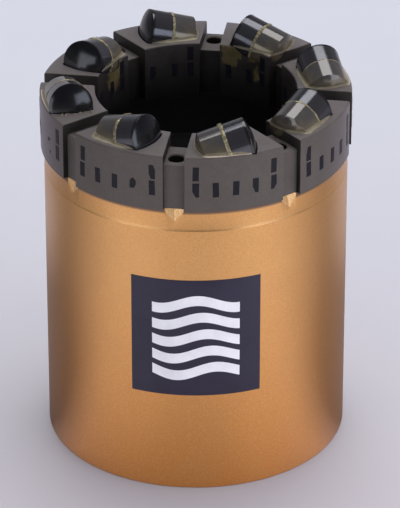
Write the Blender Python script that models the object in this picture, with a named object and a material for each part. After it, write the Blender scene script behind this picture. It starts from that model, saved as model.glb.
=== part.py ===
"""Face-discharge PDC core bit, standing on its threaded end with the cutters up.

The origin is the centre of the shell's flat lower end and +Z runs up through the crown.
Seen from above, the bit cuts while it turns counter-clockwise.
"""

import math

import bmesh
import bpy
from mathutils import Matrix, Vector

MM = 0.001

# Crown: one infiltrated matrix ring
crown_outer_radius = 48.0 * MM
crown_wall = 17.0 * MM
crown_height = 18.1 * MM
crown_edge_round = 0.7 * MM
block_count = 8
first_slot_angle = math.radians(37.0)

# Waterways between the blocks, with a low web left standing in each
waterway_width = 6.4 * MM
web_drop = 3.6 * MM
web_edge_round = 0.4 * MM
outer_channel_depth = 1.9 * MM
inner_channel_depth = 2.8 * MM
port_radius = 2.5 * MM
port_wall = 2.3 * MM

# Gauge pads, cast flush into both walls of each block
pad_width = 2.0 * MM
pad_height = 4.8 * MM
pad_depth = 1.2 * MM
pad_stand_out = 0.1 * MM
pad_row_pitch = 5.4 * MM
outer_pad_row_drop = 10.9 * MM
outer_pad_pitch = math.radians(7.3)
inner_pad_row_drop = 9.0 * MM
inner_pad_end_angle = math.radians(11.5)
inner_pad_middle_angle = math.radians(-2.0)

# Steel shell: turned, with the box thread's bore at its lower end
shell_length = 97.6 * MM
gauge_relief = 1.0 * MM
band_step = 0.3 * MM
band_length = 6.4 * MM
foot_chamfer = 0.5 * MM
thread_wall = 4.0 * MM
thread_length = 32.0 * MM
thread_mouth_chamfer = 1.2 * MM
relief_depth = 0.5 * MM
relief_length = 3.0 * MM
bore_wall = 6.5 * MM
gallery_length = 20.0 * MM
gallery_taper_length = 4.0 * MM
gallery_clearance = 0.2 * MM
run_out_width = 5.7 * MM
run_out_length = 4.5 * MM

# Cutters: domed diamond table on a carbide body, brazed to a backing stud. The margin is how
# much wider the crown's wall is than a cutter
cutter_wall_margin = 3.56 * MM
table_thickness = 0.7 * MM
table_dome_height = 1.45 * MM
carbide_length = 5.5 * MM
seam_length = 0.8 * MM
seam_stand_out = 0.15 * MM
stud_length = 6.6 * MM
stud_chamfer = 0.2 * MM
cutter_sink = 0.4 * MM
cutter_tilt = math.radians(15.5)
cutter_set_back = math.radians(1.7)
outer_pocket_wall = 0.9 * MM
inner_pocket_break = 0.3 * MM
pocket_front_gap = 0.4 * MM
# How each cutter was brazed by hand, from the first block round: turned off the tangent and
# tilted further, in degrees, then set further out and further back along the block
brazed_turns = (0, 1.5, 0, 3.5, -1.5, -3, -2.5, 2)
brazed_tilts = (0, -1.5, 1, 1.5, 1, 1, 1, -2)
brazed_out = (0, -0.2 * MM, -0.1 * MM, -0.3 * MM, 0.3 * MM, 0.9 * MM, 0.4 * MM, 0.5 * MM)
brazed_back = (0.5 * MM, 0.6 * MM, -0.2 * MM, -0.3 * MM, -0.5 * MM, -0.5 * MM, -0.2 * MM, 1.3 * MM)

# Label on the painted shell
label_width = 40.4 * MM
label_height = 40.2 * MM
label_middle_height = 53.6 * MM
label_thickness = 0.3 * MM
label_angle = math.radians(-90)

# Gaps between pieces that are bonded on the real bit
bond_gap = 0.3 * MM
braze_gap = 0.2 * MM

# Smoothness of round pieces
ring_steps = 80
cutter_steps = 32
port_steps = 16
arc_steps = 3
label_steps = 12
smooth_angle = math.radians(30)
merge_distance = 0.0001 * MM
overshoot = 4.0 * MM

# Heights and radii that follow
crown_seat = shell_length
block_top = crown_seat + crown_height
crown_inner_radius = crown_outer_radius - crown_wall
web_top = block_top - web_drop
web_outer_radius = crown_outer_radius - outer_channel_depth
web_inner_radius = crown_inner_radius + inner_channel_depth
port_circle_radius = web_outer_radius - port_wall - port_radius
shell_radius = crown_outer_radius - gauge_relief
band_radius = shell_radius - band_step
thread_radius = shell_radius - thread_wall
bore_radius = shell_radius - bore_wall
gallery_radius = port_circle_radius + port_radius + gallery_clearance
block_pitch = 2 * math.pi / block_count
first_block_angle = first_slot_angle - block_pitch / 2
cutter_radius = (crown_wall - cutter_wall_margin) / 2
pocket_radius = cutter_radius + seam_stand_out + braze_gap
outer_cutter_circle = crown_outer_radius - outer_pocket_wall - pocket_radius
inner_cutter_circle = crown_inner_radius - inner_pocket_break + pocket_radius


def clear_scene():
    for obj in list(bpy.data.objects):
        bpy.data.objects.remove(obj, do_unlink=True)


def finish_material(name, colour, roughness, metallic):
    material = bpy.data.materials.new(name)
    material.use_nodes = True
    shader = material.node_tree.nodes["Principled BSDF"]
    shader.inputs["Base Color"].default_value = (*colour, 1.0)
    shader.inputs["Roughness"].default_value = roughness
    shader.inputs["Metallic"].default_value = metallic
    material.diffuse_color = (*colour, 1.0)
    return material


def link_mesh(name, bm, material=None):
    """Make an object of the shape, with its faces out and its round sides smooth."""
    bmesh.ops.recalc_face_normals(bm, faces=bm.faces)
    mesh = bpy.data.meshes.new(name)
    bm.to_mesh(mesh)
    bm.free()
    if material:
        mesh.materials.append(material)
    mesh.shade_smooth()
    mesh.set_sharp_from_angle(angle=smooth_angle)
    obj = bpy.data.objects.new(name, mesh)
    bpy.context.scene.collection.objects.link(obj)
    return obj


def arc(centre, radius, start, end):
    """Points on an arc of (across, up) pairs, with angles in degrees."""
    angles = [math.radians(start + (end - start) * i / arc_steps) for i in range(arc_steps + 1)]
    return [(centre[0] + radius * math.cos(a), centre[1] + radius * math.sin(a)) for a in angles]


def turned(name, outline, material, steps=ring_steps):
    """Spin a closed outline of (radius, height) pairs once round the Z axis.

    An outline may start and end on the axis, where the turned piece is closed.
    """
    bm = bmesh.new()
    verts = [bm.verts.new((r, 0, z)) for r, z in outline]
    pairs = [(verts[i - 1], verts[i]) for i in range(len(verts))]
    edges = [bm.edges.new(pair) for pair in pairs if max(v.co.x for v in pair) > merge_distance]
    bmesh.ops.spin(bm, geom=verts + edges, axis=(0, 0, 1), cent=(0, 0, 0),
                   angle=2 * math.pi, steps=steps, use_merge=True)
    bmesh.ops.remove_doubles(bm, verts=bm.verts, dist=merge_distance)
    return link_mesh(name, bm, material)


def add_prism(bm, outline, width, matrix):
    """Add a closed outline in the XZ plane, extruded to both sides along Y."""
    face = bm.faces.new([bm.verts.new(matrix @ Vector((x, -width / 2, z))) for x, z in outline])
    grown = bmesh.ops.extrude_face_region(bm, geom=[face])
    moved = [v for v in grown["geom"] if isinstance(v, bmesh.types.BMVert)]
    bmesh.ops.translate(bm, verts=moved, vec=matrix.to_3x3() @ Vector((0, width, 0)))


def round_bar(bm, radius, length, steps, matrix):
    """Add a solid cylinder centred on the matrix, along its Z axis."""
    return bmesh.ops.create_cone(bm, cap_ends=True, segments=steps, radius1=radius,
                                 radius2=radius, depth=length, matrix=matrix)


def turn(angle):
    return Matrix.Rotation(angle, 4, "Z")


def block_angle(block):
    return first_block_angle + block * block_pitch


def slot_angles():
    return [first_slot_angle + i * block_pitch for i in range(block_count)]


def as_cutter(obj):
    """Hide a shape that only serves a Boolean."""
    obj.hide_render = True
    obj.display_type = "WIRE"
    return obj


def boolean(target, tool, operation):
    modifier = target.modifiers.new(tool.name, "BOOLEAN")
    modifier.operation = operation
    modifier.solver = "EXACT"
    modifier.object = as_cutter(tool)


def crown_ring(material):
    """The plain matrix ring, with its two upper edges rounded."""
    r = crown_edge_round
    outer_corner = arc((crown_outer_radius - r, block_top - r), r, 0, 90)
    inner_corner = arc((crown_inner_radius + r, block_top - r), r, 90, 180)
    foot = [(crown_inner_radius, crown_seat), (crown_outer_radius, crown_seat)]
    return turned("matrix_crown", foot + outer_corner + inner_corner, material)


def waterway_tool():
    """Everything round each web: slot above, outer channel and inner channel."""
    r = web_edge_round
    low = crown_seat - overshoot
    high = block_top + overshoot
    inside = [(crown_inner_radius - overshoot, low), (web_inner_radius, low)]
    web = arc((web_inner_radius + r, web_top - r), r, 180, 90)
    web += arc((web_outer_radius - r, web_top - r), r, 90, 0)
    far = crown_outer_radius + overshoot
    outside = [(web_outer_radius, low), (far, low), (far, high)]
    back = [(crown_inner_radius - overshoot, high)]
    bm = bmesh.new()
    for angle in slot_angles():
        add_prism(bm, inside + web + outside + back, waterway_width, turn(angle))
    return link_mesh("waterway_tool", bm)


def port_tool():
    """One face-discharge port straight down through each web."""
    middle = (crown_seat + web_top) / 2
    length = web_top - crown_seat + 2 * overshoot
    bm = bmesh.new()
    for angle in slot_angles():
        place = turn(angle) @ Matrix.Translation((port_circle_radius, 0, middle))
        round_bar(bm, port_radius, length, port_steps, place)
    return link_mesh("port_tool", bm)


def add_pad(bm, angle, wall_radius, outward, row_drop, row):
    """A gauge pad let into a wall; outward is 1 on the outer wall and -1 in the bore."""
    front = wall_radius + outward * pad_stand_out
    back = wall_radius - outward * pad_depth
    middle = block_top - row_drop + row * pad_row_pitch
    low = middle - pad_height / 2
    high = middle + pad_height / 2
    add_prism(bm, [(front, low), (back, low), (back, high), (front, high)], pad_width, turn(angle))


def gauge_pads():
    """Outside, a double column at each end and three single pads; inside, one double and two."""
    bm = bmesh.new()
    for block in range(block_count):
        middle = block_angle(block)
        for column in (-2, -1, 0, 1, 2):
            rows = (0, 1) if abs(column) == 2 else (0,)
            for row in rows:
                angle = middle + column * outer_pad_pitch
                add_pad(bm, angle, crown_outer_radius, 1, outer_pad_row_drop, row)
        for offset, rows in ((-inner_pad_end_angle, (0, 1)), (inner_pad_middle_angle, (0,)),
                             (inner_pad_end_angle, (0,))):
            for row in rows:
                add_pad(bm, middle + offset, crown_inner_radius, -1, inner_pad_row_drop, row)
    return link_mesh("gauge_pads", bm)


def shell_outline():
    """Half section of the shell, from the foot up the outside and down the bore."""
    top = crown_seat - bond_gap
    ledge = top - band_length
    relief_top = thread_length + relief_length
    relief_radius = thread_radius + relief_depth
    gallery_foot = shell_length - gallery_length
    return [
        (shell_radius - foot_chamfer, 0),
        (shell_radius, foot_chamfer),
        (shell_radius, ledge - band_step),
        (band_radius, ledge),
        (band_radius, top),
        (gallery_radius, top),
        (gallery_radius, gallery_foot),
        (bore_radius, gallery_foot - gallery_taper_length),
        (bore_radius, relief_top),
        (relief_radius, relief_top),
        (relief_radius, thread_length),
        (thread_radius, thread_length),
        (thread_radius, thread_mouth_chamfer),
        (thread_radius + thread_mouth_chamfer, 0),
    ]


def run_out_tool():
    """Where the outer channel's cutter ran out, sloping up into the shell's top band."""
    top = crown_seat
    far = shell_radius + overshoot
    slope = (band_radius - web_outer_radius) / run_out_length
    low = top - (far - web_outer_radius) / slope
    outline = [(web_outer_radius, top + overshoot), (web_outer_radius, top), (far, low),
               (far, top + overshoot)]
    bm = bmesh.new()
    for angle in slot_angles():
        add_prism(bm, outline, run_out_width, turn(angle))
    return link_mesh("run_out_tool", bm)


def cutter_frame(block):
    """An empty at the middle of a cutter, with its Z axis pointing to the cutting face.

    Every other block carries its cutter along the outer wall, the rest along the bore.
    """
    hand = block % len(brazed_out)
    circle = outer_cutter_circle if block % 2 == 0 else inner_cutter_circle
    circle += brazed_out[hand]
    angle = block_angle(block) - cutter_set_back - brazed_back[hand] / circle
    heading = angle + math.pi / 2 + math.radians(brazed_turns[hand])
    tilt = cutter_tilt + math.radians(brazed_tilts[hand])
    empty = bpy.data.objects.new(f"cutter_{block + 1}", None)
    empty.location = (circle * math.cos(angle), circle * math.sin(angle), block_top - cutter_sink)
    empty.rotation_euler = (0, math.pi / 2 - tilt, heading)
    bpy.context.scene.collection.objects.link(empty)
    return empty


def cutter_piece(name, frame, front, length, radius, chamfer, material=None):
    """A round piece of a cutter; front is how far its front face lies along the axis."""
    bm = bmesh.new()
    round_bar(bm, radius, length, cutter_steps, Matrix())
    if chamfer:
        rims = [e for e in bm.edges if abs(e.verts[0].co.z - e.verts[1].co.z) < length / 2]
        bmesh.ops.bevel(bm, geom=rims, offset=chamfer, segments=1, affect="EDGES")
    piece = link_mesh(name, bm, material)
    piece.parent = frame
    piece.location = (0, 0, front - length / 2)
    return piece


def domed_table(name, frame, front, material):
    """The diamond table: a thin round slab with a shallow dome; front is where its rim ends."""
    dome_radius = (cutter_radius ** 2 + table_dome_height ** 2) / (2 * table_dome_height)
    half_angle = math.degrees(math.asin(cutter_radius / dome_radius))
    dome = arc((0, table_dome_height - dome_radius), dome_radius, 90 - half_angle, 90)
    back = [(0, -table_thickness), (cutter_radius, -table_thickness)]
    piece = turned(name, back + dome, material, cutter_steps)
    piece.parent = frame
    piece.location = (0, 0, front)
    return piece


def build_cutter(block, crown, finishes):
    """One brazed cutter: table, carbide body, braze seam and backing stud, in its pocket."""
    frame = cutter_frame(block)
    number = block + 1
    stack = (
        ("carbide_substrate", carbide_length, cutter_radius, 0),
        ("braze_seam", seam_length, cutter_radius + seam_stand_out, 0),
        ("backing_stud", stud_length, cutter_radius, stud_chamfer),
    )
    total = table_thickness + sum(piece[1] for piece in stack) + bond_gap * len(stack)
    front = total / 2
    domed_table(f"pdc_table_{number}", frame, front, finishes["pdc_table"])
    front -= table_thickness + bond_gap
    for kind, length, radius, chamfer in stack:
        cutter_piece(f"{kind}_{number}", frame, front, length, radius, chamfer, finishes[kind])
        front -= length + bond_gap
    pocket_front = total / 2 + table_dome_height + pocket_front_gap
    pocket_length = pocket_front + total / 2 + bond_gap
    pocket = cutter_piece(f"pocket_tool_{number}", frame, pocket_front, pocket_length,
                          pocket_radius, 0)
    boolean(crown, pocket, "DIFFERENCE")


def build_label(material):
    """A thin square label wrapped on the shell."""
    inner = shell_radius + bond_gap
    outer = inner + label_thickness
    half_angle = label_width / shell_radius / 2
    angles = [label_angle - half_angle + 2 * half_angle * i / label_steps
              for i in range(label_steps + 1)]
    edge = [(outer * math.cos(a), outer * math.sin(a)) for a in angles]
    edge += [(inner * math.cos(a), inner * math.sin(a)) for a in reversed(angles)]
    foot = label_middle_height - label_height / 2
    bm = bmesh.new()
    face = bm.faces.new([bm.verts.new((x, y, foot)) for x, y in edge])
    grown = bmesh.ops.extrude_face_region(bm, geom=[face])
    moved = [v for v in grown["geom"] if isinstance(v, bmesh.types.BMVert)]
    bmesh.ops.translate(bm, verts=moved, vec=(0, 0, label_height))
    return link_mesh("shell_label", bm, material)


def build():
    clear_scene()
    paint = finish_material("gold_paint", (0.50, 0.30, 0.13), 0.42, 0.55)
    matrix = finish_material("carbide_matrix", (0.10, 0.088, 0.08), 0.55, 0.4)
    ink = finish_material("label_navy", (0.012, 0.009, 0.028), 0.5, 0.0)
    finishes = {
        "pdc_table": finish_material("diamond_table", (0.008, 0.008, 0.01), 0.15, 0.0),
        "carbide_substrate": finish_material("cemented_carbide", (0.03, 0.03, 0.032), 0.3, 0.8),
        "braze_seam": finish_material("brass_braze", (0.45, 0.40, 0.22), 0.4, 0.9),
        "backing_stud": finish_material("stud_carbide", (0.09, 0.08, 0.07), 0.35, 0.7),
    }

    shell = turned("steel_shell", shell_outline(), paint)
    boolean(shell, run_out_tool(), "DIFFERENCE")

    crown = crown_ring(matrix)
    boolean(crown, gauge_pads(), "UNION")
    boolean(crown, waterway_tool(), "DIFFERENCE")
    boolean(crown, port_tool(), "DIFFERENCE")
    for block in range(block_count):
        build_cutter(block, crown, finishes)

    build_label(ink)


build()
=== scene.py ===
# %% [markdown]
# # A core drill bit with eight diamond cutters
# The real thing is a painted steel tube that carries a ring of cast carbide matrix. Eight
# round cutters are brazed into that ring, and small gauge pads are let into its walls.
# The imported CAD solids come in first, as a fixed frame. They give every place and size below,
# and each piece that is modelled here stands for one or more of them.

# %% Load the CAD frame
import math
import random

import bmesh
import bpy
from mathutils import Matrix, Vector, noise


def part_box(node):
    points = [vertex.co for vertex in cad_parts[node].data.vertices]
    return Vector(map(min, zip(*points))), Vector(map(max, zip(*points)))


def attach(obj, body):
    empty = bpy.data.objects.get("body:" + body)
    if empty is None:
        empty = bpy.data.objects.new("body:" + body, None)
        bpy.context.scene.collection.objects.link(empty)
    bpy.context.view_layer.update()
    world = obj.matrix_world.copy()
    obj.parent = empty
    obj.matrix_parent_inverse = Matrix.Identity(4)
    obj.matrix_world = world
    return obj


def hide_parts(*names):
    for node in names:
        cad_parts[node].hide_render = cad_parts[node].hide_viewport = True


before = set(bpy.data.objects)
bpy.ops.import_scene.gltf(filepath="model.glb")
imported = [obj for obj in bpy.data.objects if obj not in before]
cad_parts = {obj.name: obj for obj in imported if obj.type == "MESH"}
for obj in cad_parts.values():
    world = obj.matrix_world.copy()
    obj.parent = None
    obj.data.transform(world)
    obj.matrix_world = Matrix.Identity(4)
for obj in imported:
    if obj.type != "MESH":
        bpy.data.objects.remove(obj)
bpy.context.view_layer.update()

MM = 0.001
bpy.ops.object.select_all(action="DESELECT")
random.seed(7)

# %% [markdown]
# ## Sizes
# The heights and radii are read from the CAD nodes' own boxes, so that a new pack of the same
# part still fits. Only what the boxes don't tell, such as the slot width, is written here.

# %% Read the main sizes
crown_low, crown_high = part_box("matrix_crown")
shell_low, shell_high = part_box("steel_shell")
pad_stand_out = 0.1 * MM
crown_outer_radius = crown_high.x - pad_stand_out
crown_inner_radius = crown_outer_radius - 17.0 * MM
crown_seat = crown_low.z
block_top = crown_high.z
shell_radius = shell_high.x
band_radius = shell_radius - 0.3 * MM
band_length = 6.4 * MM
slot_width = 6.4 * MM
web_top = block_top - 3.6 * MM
web_outer_radius = crown_outer_radius - 1.9 * MM
web_inner_radius = crown_inner_radius + 2.8 * MM
port_radius = 2.5 * MM
port_circle_radius = web_outer_radius - 2.3 * MM - port_radius
block_count = 8
block_pitch = 2 * math.pi / block_count
first_slot_angle = math.radians(37.0)
first_block_angle = first_slot_angle - block_pitch / 2
print("crown", round(crown_outer_radius / MM, 2), "mm outside and",
      round(crown_inner_radius / MM, 2), "mm inside, from", round(crown_seat / MM, 2),
      "to", round(block_top / MM, 2), "mm")

# %% [markdown]
# ## A few habits of the modelling
# Working by hand means: select one object, go into edit mode, select some of its vertices,
# edges or faces, and use an operator on them. These helpers do just that, so the cells below
# read like the steps of a session at the screen.

# %% Helpers for selecting and editing
def only(piece):
    """Select one object and make it the active one."""
    bpy.ops.object.select_all(action="DESELECT")
    piece.select_set(True)
    bpy.context.view_layer.objects.active = piece


def edit(piece):
    only(piece)
    bpy.ops.object.mode_set(mode="EDIT")


def leave():
    bpy.ops.object.mode_set(mode="OBJECT")


def pick(piece, kind, test):
    """In edit mode, select the vertices, edges or faces that pass a test and nothing else."""
    bpy.ops.mesh.select_mode(type=kind)
    bpy.ops.mesh.select_all(action="DESELECT")
    mesh = bmesh.from_edit_mesh(piece.data)
    elements = {"VERT": mesh.verts, "EDGE": mesh.edges, "FACE": mesh.faces}[kind]
    for element in elements:
        if test(element):
            element.select_set(True)
    bmesh.update_edit_mesh(piece.data)


def middle(element):
    """The middle of an edge or a face."""
    points = [v.co for v in element.verts]
    return sum(points, Vector()) / len(points)


def sharp(edge, degrees):
    return len(edge.link_faces) == 2 and edge.calc_face_angle() > math.radians(degrees)


def around(point):
    """The distance of a point from the bit's axis."""
    return math.hypot(point.x, point.y)


def name_it(piece, name):
    piece.name = name
    piece.data.name = name
    return piece


def apply_modifiers(piece):
    only(piece)
    for modifier in list(piece.modifiers):
        bpy.ops.object.modifier_apply(modifier=modifier.name)


def cut(target, tool, operation):
    """Apply an exact Boolean and throw its tool away."""
    modifier = target.modifiers.new(operation.lower(), "BOOLEAN")
    modifier.operation = operation
    modifier.solver = "EXACT"
    modifier.object = tool
    apply_modifiers(target)
    bpy.data.objects.remove(tool, do_unlink=True)


def copy_of(piece, name, matrix):
    """A copy with its own mesh, moved by its mesh and not by its object."""
    twin = piece.copy()
    twin.data = piece.data.copy()
    bpy.context.scene.collection.objects.link(twin)
    twin.data.transform(matrix)
    return name_it(twin, name)


def join(pieces, name):
    bpy.ops.object.select_all(action="DESELECT")
    for piece in pieces:
        piece.select_set(True)
    bpy.context.view_layer.objects.active = pieces[0]
    bpy.ops.object.join()
    return name_it(pieces[0], name)


def smooth(piece, degrees=30):
    only(piece)
    bpy.ops.object.shade_smooth_by_angle(angle=math.radians(degrees))


def turn(angle):
    return Matrix.Rotation(angle, 4, "Z")


def triangles(piece):
    return sum(len(polygon.vertices) - 2 for polygon in piece.data.polygons)


# %% [markdown]
# ## The lathe
# Most pieces of the bit are turned. On a lathe the section is what matters, so this helper
# draws the first ring of a section and pulls it along with extrude and scale, ring by ring.

# %% A helper that turns a section
def turned(name, section, steps, ends):
    """Turn (radius, height) pairs; ends is "wall" for a tube, "caps" for two flat ends, or
    "dome" for a flat first end and a closed tip."""
    radius, height = section[0]
    bpy.ops.mesh.primitive_circle_add(vertices=steps, radius=radius, fill_type="NOTHING")
    piece = name_it(bpy.context.active_object, name)
    edit(piece)
    bpy.ops.mesh.select_all(action="SELECT")
    bpy.ops.transform.translate(value=(0, 0, height))
    for next_radius, next_height in section[1:]:
        rise = next_height - height
        bpy.ops.mesh.extrude_region_move(TRANSFORM_OT_translate={"value": (0, 0, rise)})
        scale = next_radius / radius
        bpy.ops.transform.resize(value=(scale, scale, 1), center_override=(0, 0, 0))
        radius, height = next_radius, next_height
    if ends == "dome":
        bpy.ops.mesh.merge(type="CENTER")
    bpy.ops.mesh.select_mode(type="EDGE")
    bpy.ops.mesh.select_all(action="DESELECT")
    bpy.ops.mesh.select_non_manifold()
    if ends == "wall":
        bpy.ops.mesh.bridge_edge_loops()
    else:
        bpy.ops.mesh.fill_holes(sides=0)
    bpy.ops.mesh.select_all(action="SELECT")
    bpy.ops.mesh.normals_make_consistent(inside=False)
    leave()
    return piece


def round_corner(centre, radius, start, end, steps):
    """Points of a rounded corner in a section, with angles in degrees."""
    angles = [math.radians(start + (end - start) * i / steps) for i in range(steps + 1)]
    return [(centre[0] + radius * math.cos(a), centre[1] + radius * math.sin(a))
            for a in angles]


# %% [markdown]
# ## The steel shell
# The shell is one turned tube. Its top band is turned down a little, where the saw that cut
# the channels ran out, and its lower end has a box thread inside for the core barrel. A
# relief groove ends the thread, and a wide gallery at the top feeds the water ports.
# A section pulled round the axis gives the tube, with small radii where a lathe leaves them.

# %% Turn the shell
top = crown_seat
ledge = crown_seat - 0.3 * MM - band_length
foot_round = 0.6 * MM
ledge_round = 0.22 * MM
thread_root_radius = shell_radius - 4.0 * MM
bore_radius = shell_radius - 6.5 * MM
gallery_radius = port_circle_radius + port_radius + 0.2 * MM
gallery_floor = top - 19.7 * MM
bore_top = gallery_floor - 4 * MM
thread_length = 32 * MM
relief_length = 3 * MM
relief_depth = 0.5 * MM
mouth_chamfer = 1.2 * MM
shell_section = round_corner((shell_radius - foot_round, foot_round), foot_round, -90, 0, 5)
shell_section += round_corner((shell_radius - ledge_round, ledge - 0.35 * MM - ledge_round),
                              ledge_round, 0, 24, 3)
shell_section += [
    (band_radius, ledge + 0.35 * MM),
    (band_radius, top),
    (gallery_radius, top),
    (gallery_radius, gallery_floor),
    (bore_radius, bore_top),
    (bore_radius, thread_length + relief_length),
    (thread_root_radius + relief_depth, thread_length + relief_length),
    (thread_root_radius + relief_depth, thread_length),
    (thread_root_radius, thread_length),
    (thread_root_radius, mouth_chamfer),
    (thread_root_radius + mouth_chamfer, 0),
]
shell = turned("painted_shell", shell_section, 240, "wall")
print("shell:", triangles(shell), "triangles")

# %% [markdown]
# ## The box thread
# The thread is a square-sided ridge that winds up the inside of the lower end. The Screw
# modifier winds a small section into it.

# %% Wind the thread
thread_pitch = 6.35 * MM
thread_height = 0.9 * MM
thread_turns = 4.25
thread_start = 3.4 * MM
steps_per_turn = 96
bpy.ops.mesh.primitive_plane_add(size=1, rotation=(math.pi / 2, 0, 0))
thread = name_it(bpy.context.active_object, "thread_ridge")
bpy.ops.object.transform_apply(location=True, rotation=True, scale=True)
edit(thread)
bpy.ops.transform.resize(value=(thread_height + 0.4 * MM, 1, thread_pitch * 0.5))
pick(thread, "VERT", lambda v: v.co.x < 0)
bpy.ops.transform.resize(value=(1, 1, 0.72))
bpy.ops.mesh.select_all(action="SELECT")
middle_radius = thread_root_radius + 0.4 * MM - (thread_height + 0.4 * MM) / 2
bpy.ops.transform.translate(value=(middle_radius, 0, thread_start))
leave()
winding = thread.modifiers.new("winding", "SCREW")
winding.axis = "Z"
winding.angle = 2 * math.pi * thread_turns
winding.screw_offset = thread_pitch * thread_turns
winding.steps = int(steps_per_turn * thread_turns)
winding.render_steps = winding.steps
winding.use_merge_vertices = False
apply_modifiers(thread)
print("thread ridge before its ends are closed:", len(thread.data.vertices), "vertices")

# %% [markdown]
# A wound ridge is open at both ends, so these are filled first. A real thread fades out and
# doesn't stop short, so its first and last part of a turn are pushed outwards until they
# vanish in the wall. Then the ridge and the shell become one piece.

# %% Close the ends of the thread and sink them into the wall
edit(thread)
bpy.ops.mesh.select_mode(type="EDGE")
bpy.ops.mesh.select_all(action="DESELECT")
bpy.ops.mesh.select_non_manifold()
bpy.ops.mesh.fill_holes(sides=4)
bpy.ops.mesh.select_all(action="SELECT")
bpy.ops.mesh.normals_make_consistent(inside=False)
leave()
fade_turns = 0.18
for vertex in thread.data.vertices:
    wound = (vertex.co.z - thread_start) / thread_pitch
    angle = math.atan2(vertex.co.y, vertex.co.x) / (2 * math.pi) % 1
    whole = round(wound - angle)
    along = whole + angle
    share = min(along / fade_turns, (thread_turns - along) / fade_turns, 1)
    out = 1 + (1 - max(share, 0)) * thread_height / around(vertex.co)
    vertex.co.x *= out
    vertex.co.y *= out
cut(shell, thread, "UNION")
print("shell with its thread:", triangles(shell), "triangles")

# %% [markdown]
# ## The run-outs in the shell
# The saw that cut the outer channels ran out in the shell's top band and left a shallow notch
# there, which two slanting facets form. A cube with a ridge pulled out of its inner side is the
# saw's shape. It slopes outwards on its way down, so the notch ends in a point.

# %% Cut the eight run-outs
run_out_width = 5.7 * MM
run_out_length = 4.5 * MM
facet_depth = 1.0 * MM
edge_depth = 0.4 * MM
saw_reach = 6 * MM
saw_height = 8 * MM
inner_side = band_radius - edge_depth
slope = facet_depth / run_out_length
bpy.ops.mesh.primitive_cube_add(size=1)
saw = name_it(bpy.context.active_object, "run_out_saw")
edit(saw)
bpy.ops.mesh.select_all(action="SELECT")
bpy.ops.transform.resize(value=(saw_reach, run_out_width, saw_height))
bpy.ops.transform.translate(value=(inner_side + saw_reach / 2, 0, top))
bpy.ops.mesh.bisect(plane_co=(0, 0, 0), plane_no=(0, 1, 0))
pick(saw, "VERT", lambda v: abs(v.co.y) < 1e-6 and v.co.x < inner_side + 1e-6)
bpy.ops.transform.translate(value=(edge_depth - facet_depth, 0, 0))
for end in (-1, 1):
    pick(saw, "VERT", lambda v: (v.co.z - top) * end > 0)
    bpy.ops.transform.translate(value=(-end * slope * saw_height / 2, 0, 0))
leave()
slots = [first_slot_angle + i * block_pitch for i in range(block_count)]
saws = join([copy_of(saw, f"saw_{i + 1}", turn(angle)) for i, angle in enumerate(slots)],
            "run_out_saws")
bpy.data.objects.remove(saw, do_unlink=True)
cut(shell, saws, "DIFFERENCE")
smooth(shell, 22)
print("shell with its run-outs:", triangles(shell), "triangles")

# %% [markdown]
# ## One block of the crown
# The matrix crown is cast in a graphite mould as one ring: eight blocks with low webs between.
# One block is a plate stood upright, its two top corners rounded, and spun through one eighth
# of a turn. Two bisects then give it the flat sides that face the waterways.

# %% Spin and trim one block
crown_edge_round = 0.7 * MM
crown_height = block_top - crown_seat
crown_wall = crown_outer_radius - crown_inner_radius
block_span = math.radians(44)
bpy.ops.mesh.primitive_plane_add(size=1, rotation=(math.pi / 2, 0, 0))
block = name_it(bpy.context.active_object, "crown_block")
bpy.ops.object.transform_apply(location=True, rotation=True, scale=True)
edit(block)
bpy.ops.mesh.select_all(action="SELECT")
bpy.ops.transform.resize(value=(crown_wall, 1, crown_height))
bpy.ops.transform.translate(value=(crown_inner_radius + crown_wall / 2, 0,
                                   crown_seat + crown_height / 2))
pick(block, "VERT", lambda v: v.co.z > block_top - 1e-6)
bpy.ops.mesh.bevel(offset=crown_edge_round, segments=5, affect="VERTICES")
bpy.ops.mesh.select_all(action="SELECT")
bpy.ops.mesh.spin(steps=36, angle=block_span, center=(0, 0, 0), axis=(0, 0, 1))
bpy.ops.mesh.select_all(action="SELECT")
bpy.ops.mesh.normals_make_consistent(inside=False)
leave()
spun_to = [math.atan2(v.co.y, v.co.x) for v in block.data.vertices]
block.data.transform(turn(-(min(spun_to) + max(spun_to)) / 2))
edit(block)
for side in (-1, 1):
    across = side * block_pitch / 2
    normal = Vector((-math.sin(across), math.cos(across), 0)) * side
    bpy.ops.mesh.select_all(action="SELECT")
    bpy.ops.mesh.bisect(plane_co=-normal * slot_width / 2, plane_no=normal, use_fill=True,
                        clear_outer=True)
leave()
print("one block:", triangles(block), "triangles")

# %% [markdown]
# A cast block has no razor edges: the mould's corners and the tumbling after it round them.
# The edges of the two flat sides are picked by their angle and bevelled a quarter of a
# millimetre.

# %% Ease the block's edges
edit(block)
pick(block, "EDGE", lambda e: sharp(e, 50) and middle(e).z > crown_seat + 0.1 * MM)
bpy.ops.mesh.bevel(offset=0.25 * MM, segments=3, affect="EDGES", clamp_overlap=True)
leave()
blocks = [copy_of(block, f"block_{i + 1}", turn(first_block_angle + i * block_pitch))
          for i in range(block_count)]
bpy.data.objects.remove(block, do_unlink=True)
crown = join(blocks, "matrix_ring")
print("eight blocks:", triangles(crown), "triangles")

# %% [markdown]
# ## The webs and their water ports
# Each waterway keeps a low web, and a hole straight down through it brings the water to the
# face. A web is a cube with rounded top edges and a drilled port whose rim is slightly
# countersunk. It reaches a little into both blocks so that the union has something to hold.

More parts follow.
